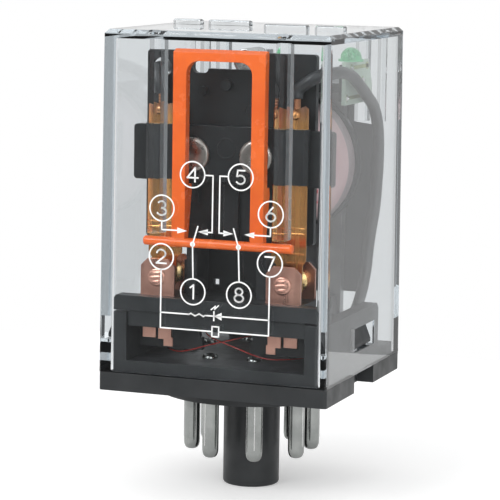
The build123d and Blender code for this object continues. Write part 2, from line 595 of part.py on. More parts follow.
def make_lamp():
    lamp = rod_z(LAMP_R + LAMP_FLANGE, (LAMP_BASE_Z + PLAY, LAMP_BASE_Z + LAMP_FLANGE), LAMP_X, LAMP_Y)
    lamp += rod_z(LAMP_R, (LAMP_BASE_Z + 0.1, LAMP_BASE_Z + 0.5), LAMP_X, LAMP_Y)
    return lamp + (Pos(LAMP_X, LAMP_Y, LAMP_BASE_Z + 0.5) * Sphere(LAMP_R)
                   & slab((9, 16), (-2, 7), (LAMP_BASE_Z + 0.3, LAMP_BASE_Z + 4)))


def make_lamp_resistor():
    body = rod_z(RESISTOR_R, (42.9, 46.7), BOARD_X[0] - 0.85, RESISTOR_Y)
    body = fillet(body.edges(), 0.3)
    return body + rod_z(RESISTOR_LEAD_R, (42.2, 47.4), BOARD_X[0] - 0.85, RESISTOR_Y)


def make_lamp_diode():
    body = rod_z(DIODE_R, (43.4, 46.2), BOARD_X[0] - 0.75, DIODE_Y)
    return body + rod_z(DIODE_LEAD_R, (42.3, 47.2), BOARD_X[0] - 0.75, DIODE_Y)


def make_lamp_holder():
    """Black bracket that carries the lamp board on the side of the yoke arm."""
    arm = slab((YOKE_HALF_X + 0.02, BOARD_X[0] - 0.02), (1.0, 4.4), (43.6, 44.9))
    return arm + slab((BOARD_X[0] - 1.0, BOARD_X[0] - 0.02), (0.2, 4.8), (42.4, 47.6))


REAR_LEAD_RUN = [(14.0, 8.6, 41.0), (13.7, 11.9, 37.3), (13.3, 13.4, 32.0), (13.0, 13.2, 26.4),
                 (12.4, 12.6, 20.8), (12.0, 12.0, 15.4), (11.2, 10.6, 10.4), (8.8, 9.2, 7.6),
                 (5.9, 8.3, 6.9)]
LEAD_START = {1: [(10.0, -10.75, 43.6), (10.3, -10.75, 45.2), (13.6, -10.9, 46.9), (14.2, -7.4, 47.1),
                  (14.25, -3.4, 46.5), (14.2, 0.6, 44.9), (14.1, 4.6, 43.1)],
              -1: [(10.0, -10.75, 43.6), (10.75, -10.75, 47.05), (10.75, -5.0, 47.05),
                   (12.2, -1.0, 46.2), (13.6, 3.0, 44.2), (14.1, 6.5, 42.2)]}


def make_common_lead(side):
    """Sleeved lead from the blade, over the coil and down the back to its pin."""
    route = LEAD_START[side] + REAR_LEAD_RUN
    return tube_along([(side * x, y, z) for x, y, z in route], SLEEVE_R, LEAD_BEND_R)


def make_common_braid(side):
    """Bare flexible end from the blade's tab towards the sleeve."""
    return rod_z(BRAID_R, BRAID_Z, side * BRAID_X, BLADE_Y[1] + BRAID_R + PLAY / 2)


def make_coil_wire(side):
    """Enamelled end of the winding: down behind the contacts, across the front, to its pin."""
    crossing_offset = WIRE_CROSSING if side > 0 else 0.0
    points = [(6.9, -3.6, 22.0), (6.7, -3.4, 16.5), (6.0, -3.9, 10.3), (2.2, -11.6, 9.6),
              (-2.0, -12.5, 8.3), (-6.6, -12.1, 6.9), (-10.6, -8.2, 6.6), (-10.7, -1.2, 6.5),
              (-9.5, 2.6, 6.5)]
    return tube_along([(side * x, y + crossing_offset, z) for x, y, z in points], WIRE_R, WIRE_BEND_R)


def make_sheet():
    """Black insulating sheet behind the yoke, wider in the middle than at its ends."""
    half = [(10.4, 13.0), (10.7, 18.4), (11.9, 21.6), (12.7, 25.0), (13.2, 29.0), (13.3, 32.0),
            (13.0, 35.6), (12.8, 38.0), (9.3, 38.4), (9.2, 41.4)]
    outline = half + [(-x, z) for x, z in reversed(half)]
    return prism_y(outline, SHEET_Y)


# ---- write one file for each node ---------------------------------------------------------
def all_nodes():
    nodes = {"base": make_base(), "terminal_block": make_terminal_block(), "cover": make_cover(),
             "yoke": make_yoke(), "yoke_screws": make_yoke_screws(), "core": make_core(),
             "shading_ring": make_shading_ring(), "bobbin": make_bobbin(), "winding": make_winding(),
             "coil_tape": make_coil_tape(), "return_spring": make_return_spring(),
             "armature": make_armature(), "contact_carrier": make_carrier(),
             "clamp_block": make_clamp(), "backing_block": make_backing(),
             "indicator_frame": make_frame(), "lamp_board": make_lamp_board(), "lamp": make_lamp(),
             "lamp_resistor": make_lamp_resistor(), "lamp_diode": make_lamp_diode(),
             "lamp_holder": make_lamp_holder(), "insulating_sheet": make_sheet()}
    for number in range(1, 9):
        nodes[f"pin_{number}"] = make_pin(number)
    for label, side in (("left", -1), ("right", 1)):
        nodes[f"rivet_{label}"] = make_rivet(side)
        nodes[f"blade_{label}"] = make_blade(side)
        nodes[f"moving_tip_{label}"] = make_moving_tip(side)
        nodes[f"front_contact_{label}"] = make_fixed_plate(NC_PLATE_Y, side)
        nodes[f"front_tip_{label}"] = make_fixed_tip(NC_PLATE_Y, NC_TIP_Y, side)
        nodes[f"rear_contact_{label}"] = make_fixed_plate(NO_PLATE_Y, side)
        nodes[f"rear_tip_{label}"] = make_fixed_tip(NO_PLATE_Y, NO_TIP_Y, side)
        nodes[f"common_lead_{label}"] = make_common_lead(side)
        nodes[f"common_braid_{label}"] = make_common_braid(side)
        nodes[f"coil_wire_{label}"] = make_coil_wire(side)
    return nodes


os.makedirs("parts", exist_ok=True)
for name, shape in all_nodes().items():
    export_step(shape, f"parts/{name}.step")
    print(name, round(shape.volume, 3))
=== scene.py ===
import json
import math

import bmesh
import bpy
from mathutils import Matrix, Vector


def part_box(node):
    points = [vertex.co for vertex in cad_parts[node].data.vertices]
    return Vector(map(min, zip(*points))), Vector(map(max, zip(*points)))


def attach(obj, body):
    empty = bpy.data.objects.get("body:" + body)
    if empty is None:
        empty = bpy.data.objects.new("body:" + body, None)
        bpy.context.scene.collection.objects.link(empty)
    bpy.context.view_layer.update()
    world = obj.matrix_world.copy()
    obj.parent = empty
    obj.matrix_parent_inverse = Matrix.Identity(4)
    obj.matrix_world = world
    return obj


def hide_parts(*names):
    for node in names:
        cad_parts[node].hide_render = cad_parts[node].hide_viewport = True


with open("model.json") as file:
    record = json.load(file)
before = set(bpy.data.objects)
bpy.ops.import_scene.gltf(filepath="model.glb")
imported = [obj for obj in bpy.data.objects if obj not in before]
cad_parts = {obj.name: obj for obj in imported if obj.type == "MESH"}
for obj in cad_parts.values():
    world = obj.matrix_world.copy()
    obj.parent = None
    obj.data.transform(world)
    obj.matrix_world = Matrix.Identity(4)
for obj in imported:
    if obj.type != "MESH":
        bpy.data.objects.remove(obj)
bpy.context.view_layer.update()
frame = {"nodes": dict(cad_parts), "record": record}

# All sizes below are in millimetres until mm() turns them into Blender's metres.
BASE = "relay_base"
MOVING = "armature_assembly"


def mm(*values):
    """Millimetres to a Vector in metres."""
    return Vector(values) * 0.001


def limits(node):
    """A CAD node's lowest and highest corner, in millimetres."""
    low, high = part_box(node)
    return low * 1000, high * 1000


# ---- node-based materials -----------------------------------------------------------------
class Paint:
    """A material with one Principled shader and short helpers for its procedural nodes."""

    def __init__(self, name, **sockets):
        self.material = bpy.data.materials.new(name)
        self.material.use_nodes = True
        self.tree = self.material.node_tree
        self.shader = self.tree.nodes["Principled BSDF"]
        self.output = self.tree.nodes["Material Output"]
        for key, value in sockets.items():
            self.shader.inputs[key.replace("_", " ")].default_value = value
        self.height = None

    def node(self, kind, **values):
        made = self.tree.nodes.new(kind)
        for key, value in values.items():
            if key in made.inputs:
                made.inputs[key].default_value = value
            else:
                setattr(made, key, value)
        return made

    def link(self, source, target):
        self.tree.links.new(source, target)

    def place(self, scale=(1.0, 1.0, 1.0)):
        """Object coordinates, which are the row frame's metres, stretched by scale."""
        coords = self.node("ShaderNodeTexCoord")
        mapping = self.node("ShaderNodeMapping", Scale=scale)
        self.link(coords.outputs["Object"], mapping.inputs["Vector"])
        return mapping.outputs["Vector"]

    def noise(self, scale, detail=3.0, stretch=(1.0, 1.0, 1.0), rough=0.55):
        made = self.node("ShaderNodeTexNoise", Scale=scale, Detail=detail, Roughness=rough)
        self.link(self.place(stretch), made.inputs["Vector"])
        return made.outputs["Fac"]

    def ramp(self, source, stops):
        made = self.node("ShaderNodeValToRGB")
        elements = made.color_ramp.elements
        while len(elements) < len(stops):
            elements.new(0.5)
        for element, (position, colour) in zip(elements, stops):
            element.position = position
            element.color = (*colour, 1.0)
        self.link(source, made.inputs["Fac"])
        return made.outputs["Color"]

    def spread(self, source, low, high):
        """The source's middle range mapped to low..high."""
        made = self.node("ShaderNodeMapRange")
        for key, value in (("From Min", 0.3), ("From Max", 0.7), ("To Min", low), ("To Max", high)):
            made.inputs[key].default_value = value
        self.link(source, made.inputs["Value"])
        return made.outputs["Result"]

    def colour(self, source):
        self.link(source, self.shader.inputs["Base Color"])

    def roughness(self, source):
        self.link(source, self.shader.inputs["Roughness"])

    def bump(self, source, depth_mm, edge_mm=0.0):
        """Adds relief of that depth, over edges rounded by edge_mm."""
        made = self.node("ShaderNodeBump", Strength=1.0, Distance=depth_mm * 0.001)
        self.link(source, made.inputs["Height"])
        if self.height is not None:
            self.link(self.height, made.inputs["Normal"])
        elif edge_mm:
            edge = self.node("ShaderNodeBevel", Radius=edge_mm * 0.001)
            edge.samples = 6
            self.link(edge.outputs["Normal"], made.inputs["Normal"])
        self.height = made.outputs["Normal"]
        self.link(self.height, self.shader.inputs["Normal"])


def moulded(name, dark, light, rough, grain_mm=0.25, depth_mm=0.006, edge_mm=0.12, **sockets):
    """Moulded plastic: two close tones, uneven gloss and a fine spark-eroded grain."""
    paint = Paint(name, **sockets)
    tone = paint.noise(180.0, 4.0)
    paint.colour(paint.ramp(tone, ((0.3, dark), (0.7, light))))
    paint.roughness(paint.spread(paint.noise(420.0, 3.0), rough - 0.07, rough + 0.07))
    paint.bump(paint.noise(1000.0 / grain_mm, 2.0), depth_mm, edge_mm)
    return paint


def metal(name, dark, light, rough, stretch=(1.0, 1.0, 1.0), depth_mm=0.003, edge_mm=0.06, scale=900.0,
          **sockets):
    """Sheet or turned metal with a drawn grain and slight tarnish."""
    paint = Paint(name, Metallic=1.0, **sockets)
    tone = paint.noise(260.0, 5.0)
    paint.colour(paint.ramp(tone, ((0.32, dark), (0.68, light))))
    paint.roughness(paint.spread(paint.noise(scale, 4.0, stretch), rough - 0.08, rough + 0.1))
    paint.bump(paint.noise(scale * 2.0, 3.0, stretch), depth_mm, edge_mm)
    return paint


def clear_cover():
    """Clear moulded plastic: glass to the eye, while lamp light passes straight through."""
    paint = Paint("clear_cover", Roughness=0.0, IOR=1.49)
    paint.shader.inputs["Transmission Weight"].default_value = 1.0
    paint.colour(paint.ramp(paint.noise(60.0, 2.0),
                            ((0.3, (0.95, 0.972, 0.985)), (0.7, (0.965, 0.982, 0.99)))))
    paint.bump(paint.noise(90.0, 2.0), 0.01)
    path = paint.node("ShaderNodeLightPath")
    opening = paint.node("ShaderNodeBsdfTransparent", Color=(0.95, 0.96, 0.97, 1.0))
    mix = paint.node("ShaderNodeMixShader")
    paint.link(path.outputs["Is Shadow Ray"], mix.inputs["Fac"])
    paint.link(paint.shader.outputs["BSDF"], mix.inputs[1])
    paint.link(opening.outputs["BSDF"], mix.inputs[2])
    paint.link(mix.outputs["Shader"], paint.output.inputs["Surface"])
    depth = paint.node("ShaderNodeVolumeAbsorption", Color=(0.5, 0.58, 0.63, 1.0), Density=26.0)
    paint.link(depth.outputs["Volume"], paint.output.inputs["Volume"])
    return paint


def printed_white():
    paint = Paint("printed_white")
    paint.colour(paint.ramp(paint.noise(900.0), ((0.3, (0.86, 0.87, 0.86)), (0.7, (0.94, 0.94, 0.93)))))
    paint.roughness(paint.spread(paint.noise(1500.0), 0.45, 0.6))
    return paint


def green_lens():
    paint = Paint("green_lamp", Roughness=0.06, IOR=1.5)
    paint.shader.inputs["Transmission Weight"].default_value = 0.7
    paint.colour(paint.ramp(paint.noise(500.0), ((0.3, (0.2, 0.62, 0.33)), (0.7, (0.3, 0.74, 0.42)))))
    paint.bump(paint.noise(700.0), 0.01)
    return paint


def laminate():
    """Pale glass-fibre board, nearly clear, with its woven cloth faintly showing."""
    paint = Paint("green_board", Roughness=0.35)
    paint.shader.inputs["Transmission Weight"].default_value = 0.45
    weave = paint.node("ShaderNodeTexChecker", Scale=2200.0)
    paint.link(paint.place(), weave.inputs["Vector"])
    paint.colour(paint.ramp(weave.outputs["Fac"], ((0.0, (0.6, 0.74, 0.62)), (1.0, (0.68, 0.8, 0.68)))))
    paint.bump(paint.noise(1800.0), 0.006, 0.05)
    return paint


def spring_copper_dark_top():
    """Polished spring copper, darker and browner from just below the braid weld up to its top end."""
    paint = Paint("spring_copper", Metallic=1.0)
    tone = paint.ramp(paint.noise(160.0, 3.0, (1.0, 1.0, 0.3)),
                      ((0.3, (0.58, 0.28, 0.09)), (0.7, (0.78, 0.4, 0.14))))
    top_tone = paint.ramp(paint.noise(420.0, 4.0),
                      ((0.3, (0.3, 0.1, 0.13)), (0.5, (0.45, 0.2, 0.08)), (0.7, (0.36, 0.22, 0.2))))
    coords = paint.node("ShaderNodeTexCoord")
    split = paint.node("ShaderNodeSeparateXYZ")
    paint.link(coords.outputs["Object"], split.inputs["Vector"])
    # Blends from the copper tone to the darker brown between 39.5 and 42.5 mm height, and stays darker
    # above that.
    top_blend = paint.node("ShaderNodeMapRange")
    for key, value in (("From Min", 0.0395), ("From Max", 0.0425)):
        top_blend.inputs[key].default_value = value
    paint.link(split.outputs["Z"], top_blend.inputs["Value"])
    mix = paint.node("ShaderNodeMix", data_type="RGBA")
    paint.link(top_blend.outputs["Result"], mix.inputs["Factor"])
    paint.link(tone, mix.inputs["A"])
    paint.link(top_tone, mix.inputs["B"])
    paint.colour(mix.outputs["Result"])
    paint.roughness(paint.spread(paint.noise(900.0, 4.0, (1.0, 1.0, 0.05)), 0.16, 0.32))
    paint.bump(paint.noise(160.0, 2.0), 0.03, 0.05)
    return paint


def fine_windings():
    """Layers of hair-thin enamelled wire: close ridges across the coil's axis."""
    paint = Paint("enamel_winding", Roughness=0.3)
    ridges = paint.node("ShaderNodeTexWave", Scale=2400.0, Distortion=0.6, Detail=1.0)
    ridges.bands_direction = "Y"
    paint.link(paint.place(), ridges.inputs["Vector"])
    paint.colour(paint.ramp(ridges.outputs["Fac"], ((0.1, (0.05, 0.012, 0.008)), (0.8, (0.2, 0.06, 0.03)))))
    paint.bump(ridges.outputs["Fac"], 0.03)
    return paint


def twisted_strands(name, dark, light):
    """Fine bare strands laid along the lead."""
    paint = Paint(name, Metallic=1.0, Roughness=0.35)
    lay = paint.node("ShaderNodeTexWave", Scale=1500.0, Distortion=1.5, Detail=2.0)
    lay.bands_direction = "DIAGONAL"
    paint.link(paint.place(), lay.inputs["Vector"])
    paint.colour(paint.ramp(lay.outputs["Fac"], ((0.1, dark), (0.8, light))))
    paint.bump(lay.outputs["Fac"], 0.05)
    return paint


BLACK, SOFT_BLACK = (0.012, 0.014, 0.015), (0.024, 0.026, 0.028)
PAINTS = {
    "black_base_plastic": moulded("black_base_plastic", BLACK, SOFT_BLACK, 0.42, Specular_IOR_Level=0.35),
    "black_inner_plastic": moulded("black_inner_plastic", (0.008, 0.009, 0.01), (0.016, 0.018, 0.019), 0.36,
                                   Specular_IOR_Level=0.35),
    "clear_cover": clear_cover(),
    "nickel_pin": metal("nickel_pin", (0.2, 0.21, 0.205), (0.32, 0.33, 0.32), 0.18, (1, 1, 0.06)),
    "nickel_steel": metal("nickel_steel", (0.24, 0.22, 0.2), (0.4, 0.37, 0.34), 0.3),
    "zinc_iron": metal("zinc_iron", (0.26, 0.26, 0.27), (0.42, 0.42, 0.43), 0.38),
    "spring_copper": spring_copper_dark_top(),
    "satin_copper": metal("satin_copper", (0.5, 0.26, 0.205), (0.66, 0.37, 0.285), 0.32, (1, 1, 0.08)),
    "silver_contact": metal("silver_contact", (0.7, 0.7, 0.68), (0.86, 0.86, 0.84), 0.2),
    "gold_contact": metal("gold_contact", (0.72, 0.5, 0.22), (0.9, 0.68, 0.36), 0.24),
    "bare_copper": metal("bare_copper", (0.5, 0.22, 0.12), (0.72, 0.36, 0.2), 0.3),
    "orange_plastic": moulded("orange_plastic", (0.78, 0.115, 0.012), (0.9, 0.16, 0.02), 0.24,
                              grain_mm=0.5, depth_mm=0.004, edge_mm=0.15),
    "spring_wire": metal("spring_wire", (0.5, 0.5, 0.5), (0.72, 0.72, 0.7), 0.22),
    "enamel_winding": fine_windings(),
    "enamel_wire": moulded("enamel_wire", (0.2, 0.012, 0.01), (0.34, 0.03, 0.02), 0.22, edge_mm=0.0),
    "coil_tape": moulded("coil_tape", (0.3, 0.24, 0.25), (0.4, 0.32, 0.33), 0.4, edge_mm=0.05),
    "black_sleeve": moulded("black_sleeve", BLACK, SOFT_BLACK, 0.34, edge_mm=0.0),
    "copper_braid": twisted_strands("copper_braid", (0.3, 0.13, 0.07), (0.7, 0.38, 0.22)),
    "black_fibre": moulded("black_fibre", BLACK, SOFT_BLACK, 0.5),
    "green_lamp": green_lens(),
    "green_board": laminate(),
    "resistor_body": moulded("resistor_body", (0.4, 0.3, 0.18), (0.52, 0.4, 0.26), 0.35),
    "diode_glass": moulded("diode_glass", (0.02, 0.02, 0.02), (0.05, 0.045, 0.04), 0.2),
    "printed_white": printed_white(),
    "label_paper": moulded("label_paper", (0.66, 0.42, 0.43), (0.76, 0.54, 0.54), 0.5, edge_mm=0.0),
    "red_ink": moulded("red_ink", (0.5, 0.02, 0.03), (0.62, 0.05, 0.06), 0.5, edge_mm=0.0),
    "solder": metal("solder", (0.5, 0.5, 0.5), (0.74, 0.74, 0.73), 0.22, depth_mm=0.02),
    "board_track": metal("board_track", (0.35, 0.42, 0.2), (0.5, 0.55, 0.28), 0.35),
    "colour_band": moulded("colour_band", (0.3, 0.03, 0.02), (0.4, 0.06, 0.03), 0.35, edge_mm=0.0),
}


def paint_cad_nodes():
    for part in frame["record"]["subparts"]:
        node = frame["nodes"][part["node"]]
        node.data.materials.clear()
        node.data.materials.append(PAINTS[part["material_slot"]].material)


# ---- building helpers ---------------------------------------------------------------------
def add_piece(name, data, body, slot, paint=None, replaced=()):
    piece = bpy.data.objects.new(name, data)
    bpy.context.scene.collection.objects.link(piece)
    data.materials.append(PAINTS[paint or slot].material)
    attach(piece, body)
    if replaced:
        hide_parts(*replaced)
    return piece


def finished_mesh(name, bm, crease_deg=35.0):
    """A mesh from bm, smooth except across edges sharper than crease_deg."""
    bmesh.ops.recalc_face_normals(bm, faces=bm.faces)
    mesh = bpy.data.meshes.new(name)
    bm.to_mesh(mesh)
    bm.free()
    mesh.shade_smooth()
    mesh.set_sharp_from_angle(angle=math.radians(crease_deg))
    return mesh


def sweep(points, radius, sides=12, steps=8):
    """A round tube with closed ends along a smooth curve through points."""
    spots = [Vector(point) for point in points]
    spots = [2 * spots[0] - spots[1]] + spots + [2 * spots[-1] - spots[-2]]
    line = []
    for p0, p1, p2, p3 in zip(spots, spots[1:], spots[2:], spots[3:]):
        for step in range(steps):
            t = step / steps
            line.append(0.5 * (2 * p1 + (p2 - p0) * t + (2 * p0 - 5 * p1 + 4 * p2 - p3) * t * t
                               + (3 * p1 - p0 - 3 * p2 + p3) * t ** 3))
    line.append(spots[-2])
    bm = bmesh.new()
    add_tube(bm, line, radius, sides)
    return bm


def add_tube(bm, line, radius, sides):
    """Adds a round tube through a dense line of points, in millimetres."""
    normal = (line[1] - line[0]).orthogonal().normalized()
    rings = []
    for i, spot in enumerate(line):
        ahead = (line[min(i + 1, len(line) - 1)] - line[max(i - 1, 0)]).normalized()
        normal = (normal - ahead * normal.dot(ahead)).normalized()
        across = ahead.cross(normal)
        turns = [2 * math.pi * k / sides for k in range(sides)]
        rings.append([bm.verts.new(mm(*(spot + radius * (normal * math.cos(a) + across * math.sin(a)))))
                      for a in turns])
    for first, second in zip(rings, rings[1:]):
        for k in range(sides):
            j = (k + 1) % sides
            bm.faces.new((first[k], first[j], second[j], second[k]))
    bm.faces.new(rings[0][::-1])
    bm.faces.new(rings[-1])


def add_lathe(bm, profile, centre, axis, sides=40):
    """Adds a turned solid: profile holds (radius, distance along axis) pairs, first and last on it."""
    centre, axis = Vector(centre), Vector(axis).normalized()
    normal = axis.orthogonal().normalized()
    across = axis.cross(normal)
    rings = []
    for radius, along in profile:
        if radius == 0:
            rings.append([bm.verts.new(mm(*(centre + axis * along)))])
        else:
            rings.append([bm.verts.new(mm(*(centre + axis * along + radius * (
                normal * math.cos(2 * math.pi * k / sides) + across * math.sin(2 * math.pi * k / sides)))))
                for k in range(sides)])
    for first, second in zip(rings, rings[1:]):
        for k in range(sides):
            j = (k + 1) % sides
            corners = [first[k % len(first)], first[j % len(first)],
                       second[j % len(second)], second[k % len(second)]]
            bm.faces.new(list(dict.fromkeys(corners)))


def add_block(bm, x, y, z):
    """Adds a plain block between limits, in millimetres."""
    corners = [[[bm.verts.new(mm(px, py, pz)) for pz in z] for py in y] for px in x]
    for i in (0, 1):
        bm.faces.new([corners[i][0][0], corners[i][0][1], corners[i][1][1], corners[i][1][0]])
        bm.faces.new([corners[0][i][0], corners[0][i][1], corners[1][i][1], corners[1][i][0]])
        bm.faces.new([corners[0][0][i], corners[0][1][i], corners[1][1][i], corners[1][0][i]])


def rounded(mesh_object, width_mm, segments=3):
    """Rounds the edges of a mesh object with a bevel modifier."""
    bevel = mesh_object.modifiers.new("rounding", "BEVEL")
    bevel.width = width_mm * 0.001
    bevel.segments = segments
    bevel.limit_method = "ANGLE"


def both_sides():
    return (("left", -1), ("right", 1))


# ---- strokes printed or raised on a surface -----------------------------------------------
PRINT_LINE = 0.2
PRINT_LIFT = 0.02
CIRCLE_R = 1.81
DIGIT_LINE = 0.23

COVER_LOW = limits("cover")[0]
COVER_TAPER = math.tan(math.radians(0.45))


def on_cover_front(x, z, lift):
    """A place on the front face of the tapered cover."""
    return mm(x, COVER_LOW.y + COVER_TAPER * (z - COVER_LOW.z) - lift, z)


class Print:
    """Flat strokes on a surface, gathered into one mesh. place(u, v, lift) gives the surface."""

    def __init__(self, place, lift=PRINT_LIFT):
        self.bm = bmesh.new()
        self.place = place
        self.lift = lift

    def patch(self, outline):
        """A thin flat plate with that outline."""
        back = [self.bm.verts.new(self.place(u, v, self.lift * 0.1)) for u, v in outline]
        front = [self.bm.verts.new(self.place(u, v, self.lift)) for u, v in outline]
        self.bm.faces.new(front)
        self.bm.faces.new(back[::-1])
        for i in range(len(outline)):
            j = (i + 1) % len(outline)
            self.bm.faces.new((front[i], back[i], back[j], front[j]))

    def line(self, a, b, width=PRINT_LINE):
        a, b = Vector(a), Vector(b)
        along = (b - a).normalized() * width / 2
        side = Vector((-along.y, along.x))
        self.patch([a - along + side, b + along + side, b + along - side, a - along - side])

    def path(self, points, width=PRINT_LINE):
        for a, b in zip(points, points[1:]):
            self.line(a, b, width)

    def ring(self, x, z, radius, width=PRINT_LINE, steps=48):
        inner, outer = radius - width / 2, radius + width / 2
        for i in range(steps):
            turn = [2 * math.pi * k / steps for k in (i, i + 1)]
            spots = [(x + r * math.cos(a), z + r * math.sin(a))
                     for r, a in ((outer, turn[0]), (outer, turn[1]), (inner, turn[1]), (inner, turn[0]))]
            self.patch(spots)

    def dot(self, x, z, radius=0.37, steps=20):
        turns = [2 * math.pi * k / steps for k in range(steps)]
        self.patch([(x + radius * math.cos(a), z + radius * math.sin(a)) for a in turns])

    def head(self, tip, away, length=1.45, half=0.42):
        """A solid arrowhead with its point at tip; away points back along the line."""
        tip, away = Vector(tip), Vector(away).normalized()
        side = Vector((-away.y, away.x)) * half
        self.patch([tip, tip + away * length + side, tip + away * length - side])

    def digit(self, number, x, z, wide=1.0, high=1.0, width=PRINT_LINE):
        for stroke in DIGIT_STROKES[number]:
            self.path([(x + wide * px, z + high * pz) for px, pz in stroke], width)


def arc(x, z, radius_x, radius_z, start, end, steps=10):
    """Points along part of an ellipse, between angles in degrees."""
    turns = [math.radians(start + (end - start) * k / steps) for k in range(steps + 1)]
    return [(x + radius_x * math.cos(a), z + radius_z * math.sin(a)) for a in turns]


DIGIT_STROKES = {
    1: [[(-0.26, 0.52), (0.06, 0.85), (0.06, -0.85)]],
    2: [arc(-0.02, 0.36, 0.46, 0.5, 165, -35) + [(-0.5, -0.83), (0.5, -0.83)]],
    3: [arc(-0.04, 0.42, 0.4, 0.43, 140, -80), arc(-0.04, -0.42, 0.48, 0.45, 85, -150)],
    4: [[(0.26, -0.85), (0.26, 0.85), (-0.54, -0.38), (0.56, -0.38)]],
    5: [[(0.4, 0.83), (-0.3, 0.83), (-0.38, 0.1)] + arc(-0.02, -0.32, 0.46, 0.52, 125, -145)],
    6: [arc(0.0, -0.34, 0.46, 0.5, 0, 360, 16), [(-0.44, -0.2), (-0.1, 0.45), (0.2, 0.86)]],
    7: [[(-0.48, 0.83), (0.46, 0.83), (-0.1, -0.85)]],
    8: [arc(0.0, 0.42, 0.36, 0.41, 0, 360, 14), arc(0.0, -0.42, 0.45, 0.45, 0, 360, 16)],
}

# The wiring diagram: centre line, distances of the circles from it, heights of its rows, and the
# places and half sizes of its symbols.
MIDDLE_X = 0.4
OUTER, INNER = 8.05, 3.55
ROW_Z = {"upper": 32.8, "contacts": 27.9, "coil": 21.1, "commons": 16.45}
ARROW_Z = 24.9
LED_Z, COIL_LINE_Z = 13.25, 11.08
TRUNK = 0.51
INNER_ARROW_END, INNER_ARROW_TIP = 2.0, 2.6
OUTER_ARROW_END, OUTER_ARROW_TIP = 4.9, 4.25
BLADE_MARK_X, BLADE_MARK_RISE = 2.65, 0.7
PIVOT_X, PIVOT_Z = 3.4, 23.1
DIODE_HALF, DIODE_BAR_HALF = 0.55, 0.6
COIL_BOX_X, COIL_BOX_HALF = (0.1, 1.1), 0.7
COMMONS_SHIFT_X = 0.175
COMMONS_REACH = 3.425
DIGIT_WIDTH, DIGIT_HEIGHT = 1.42, 1.12
SQUIGGLE_START_X, SQUIGGLE_STEP, SQUIGGLE_HEIGHT = -3.4, 0.31, 0.15
DIODE_X = (0.35, 1.5)
LIGHT_MARK, LIGHT_MARK_LINE = ((-0.4, 0.9), (0.2, 1.4), (0.1, 0.95), (0.65, 1.5)), 0.17


def wiring_print():
    """The relay's contact, lamp and coil diagram with its eight terminal numbers."""
    art = Print(on_cover_front)
    rows = {(4, 5): (INNER, "upper"), (3, 6): (OUTER, "contacts"), (2, 7): (OUTER, "coil"),
            (1, 8): (COMMONS_REACH, "commons")}
    for pair, (reach, row) in rows.items():
        shift = COMMONS_SHIFT_X if row == "commons" else 0.0
        for number, side in zip(pair, (-1, 1)):
            x = MIDDLE_X + shift + side * reach
            art.ring(x, ROW_Z[row], CIRCLE_R)
            art.digit(number, x, ROW_Z[row], DIGIT_WIDTH, DIGIT_HEIGHT, DIGIT_LINE)
    for side in (-1, 1):
        def at(reach):
            return MIDDLE_X + side * reach
        art.path([(at(INNER - CIRCLE_R), ROW_Z["upper"]), (at(TRUNK), ROW_Z["upper"]), (at(TRUNK), ARROW_Z),
                  (at(INNER_ARROW_END), ARROW_Z)])
        art.head((at(INNER_ARROW_TIP), ARROW_Z), (-side, 0))
        art.path([(at(OUTER), ROW_Z["contacts"] - CIRCLE_R), (at(OUTER), ARROW_Z),
                  (at(OUTER_ARROW_END), ARROW_Z)])
        art.head((at(OUTER_ARROW_TIP), ARROW_Z), (side, 0))
        common_x = MIDDLE_X + COMMONS_SHIFT_X + side * COMMONS_REACH
        art.path([(at(BLADE_MARK_X), ARROW_Z + BLADE_MARK_RISE), (at(PIVOT_X), PIVOT_Z),
                  (common_x, ROW_Z["commons"] + CIRCLE_R)])
        art.dot(at(PIVOT_X), PIVOT_Z)
        art.line((at(OUTER), ROW_Z["coil"] - CIRCLE_R), (at(OUTER), COIL_LINE_Z))
    left, right = MIDDLE_X - OUTER, MIDDLE_X + OUTER
    squiggle = [(SQUIGGLE_START_X + SQUIGGLE_STEP * k, LED_Z + SQUIGGLE_HEIGHT * (0, 1, 0, -1)[k % 4])
                for k in range(9)]
    art.path([(left, LED_Z)] + squiggle + [(right, LED_Z)])
    tip_x, back_x = DIODE_X
    art.patch([(tip_x, LED_Z), (back_x, LED_Z + DIODE_HALF), (back_x, LED_Z - DIODE_HALF)])
    art.line((tip_x, LED_Z - DIODE_BAR_HALF), (tip_x, LED_Z + DIODE_BAR_HALF))
    art.path([(tip_x + x, LED_Z + z) for x, z in LIGHT_MARK], LIGHT_MARK_LINE)
    box_left, box_right = COIL_BOX_X
    low_z, high_z = COIL_LINE_Z - COIL_BOX_HALF, COIL_LINE_Z + COIL_BOX_HALF
    art.path([(left, COIL_LINE_Z), (box_left, COIL_LINE_Z)])
    art.path([(box_right, COIL_LINE_Z), (right, COIL_LINE_Z)])
    art.path([(box_left, low_z), (box_right, low_z), (box_right, high_z), (box_left, high_z),
              (box_left, low_z)])
    return art


PIN_DIGIT_LIFT, PIN_DIGIT_SPREAD, PIN_DIGIT_SIZE = 0.05, 1.33, 0.62


def add_prints():
    add_piece("wiring_print", finished_mesh("wiring_print", wiring_print().bm), BASE,
              "clear_cover", "printed_white")
    numbers = Print(lambda x, y, lift: mm(-x, y, -lift), PIN_DIGIT_LIFT)
    for number in range(1, 9):
        low, high = limits(f"pin_{number}")
        outward = ((low + high) / 2).xy * PIN_DIGIT_SPREAD
        numbers.digit(number, -outward.x, outward.y, PIN_DIGIT_SIZE, PIN_DIGIT_SIZE)
    add_piece("pin_numbers", finished_mesh("pin_numbers", numbers.bm), BASE, "black_base_plastic")


